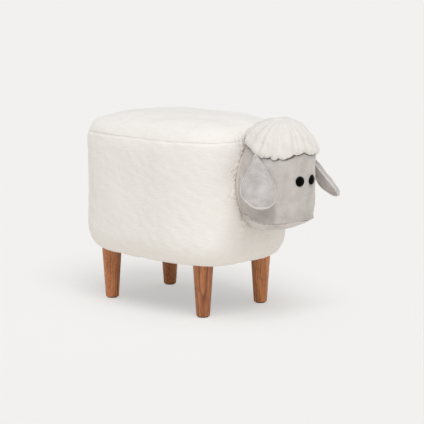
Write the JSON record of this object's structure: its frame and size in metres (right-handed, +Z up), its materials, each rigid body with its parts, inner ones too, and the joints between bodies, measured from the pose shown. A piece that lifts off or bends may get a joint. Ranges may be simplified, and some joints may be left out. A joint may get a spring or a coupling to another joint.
{
  "type": "animal footstool",
  "caption": "Upholstered footstool shaped as a standing sheep: padded plush body on turned wooden legs, stuffed head with a fleece cap and hinged hanging ears.",
  "frame": {"origin": "on the floor, under the middle of the bounding box", "axes": "+Z up, the sheep faces -Y, its own left side is +X"},
  "size_m": [0.3042, 0.536, 0.4058],
  "materials": {
    "plush": "short cream plush pile",
    "fleece": "combed white fleece",
    "velvet": "short grey velvet pile",
    "edging": "rolled beige cloth edging",
    "leg_wood": "reddish brown stain, satin varnish",
    "plywood": "bare",
    "pine": "bare",
    "foam": "open cell foam",
    "stuffing": "loose polyester fibre",
    "lining": "thin black non-woven cloth",
    "steel": "zinc plated",
    "felt": "pressed felt",
    "eye_gloss": "polished black",
    "nylon": "moulded"
  },
  "bodies": {
    "stool": {"side_cover": "plush", "top_cover": "plush", "wool_cap": "fleece", "head_cover": "velvet", "chin_panel": "velvet", "neck_welt": "edging", "leg_front_left": "leg_wood", "leg_front_right": "leg_wood", "leg_rear_left": "leg_wood", "leg_rear_right": "leg_wood", "base_board": "plywood", "seat_board": "plywood", "front_board": "plywood", "rear_board": "plywood", "left_board": "plywood", "right_board": "plywood", "head_board": "plywood", "corner_block_front_left": "pine", "corner_block_front_right": "pine", "corner_block_rear_left": "pine", "corner_block_rear_right": "pine", "head_block": "pine", "seat_foam": "foam", "side_foam": "foam", "head_core": "stuffing", "dust_cover": "lining", "seat_screw_front_left": "steel", "seat_screw_front_right": "steel", "seat_screw_rear_left": "steel", "seat_screw_rear_right": "steel", "base_screw_front_left": "steel", "base_screw_front_right": "steel", "base_screw_rear_left": "steel", "base_screw_rear_right": "steel", "leg_bolt_front_left": "steel", "leg_bolt_front_right": "steel", "leg_bolt_rear_left": "steel", "leg_bolt_rear_right": "steel", "tee_nut_front_left": "steel", "tee_nut_front_right": "steel", "tee_nut_rear_left": "steel", "tee_nut_rear_right": "steel", "head_bolt_left": "steel", "head_bolt_right": "steel", "head_washer_left": "steel", "head_washer_right": "steel", "head_nut_left": "steel", "head_nut_right": "steel", "foot_glide_front_left": "felt", "foot_glide_front_right": "felt", "foot_glide_rear_left": "felt", "foot_glide_rear_right": "felt", "eye_left": "eye_gloss", "eye_right": "eye_gloss", "eye_washer_left": "nylon", "eye_washer_right": "nylon"},
    "left_ear": {"ear_left": "velvet"},
    "right_ear": {"ear_right": "velvet"}
  },
  "joints": [
    {"name": "left_ear_lift", "type": "hinge", "parent": "stool", "child": "left_ear", "pos_m": [0.07559, -0.1944, 0.3345], "axis": [0, -1, 0], "range_deg": [0, 60]},
    {"name": "right_ear_lift", "type": "hinge", "parent": "stool", "child": "right_ear", "pos_m": [-0.07559, -0.1944, 0.3345], "axis": [0, 1, 0], "range_deg": [0, 60]}
  ]
}
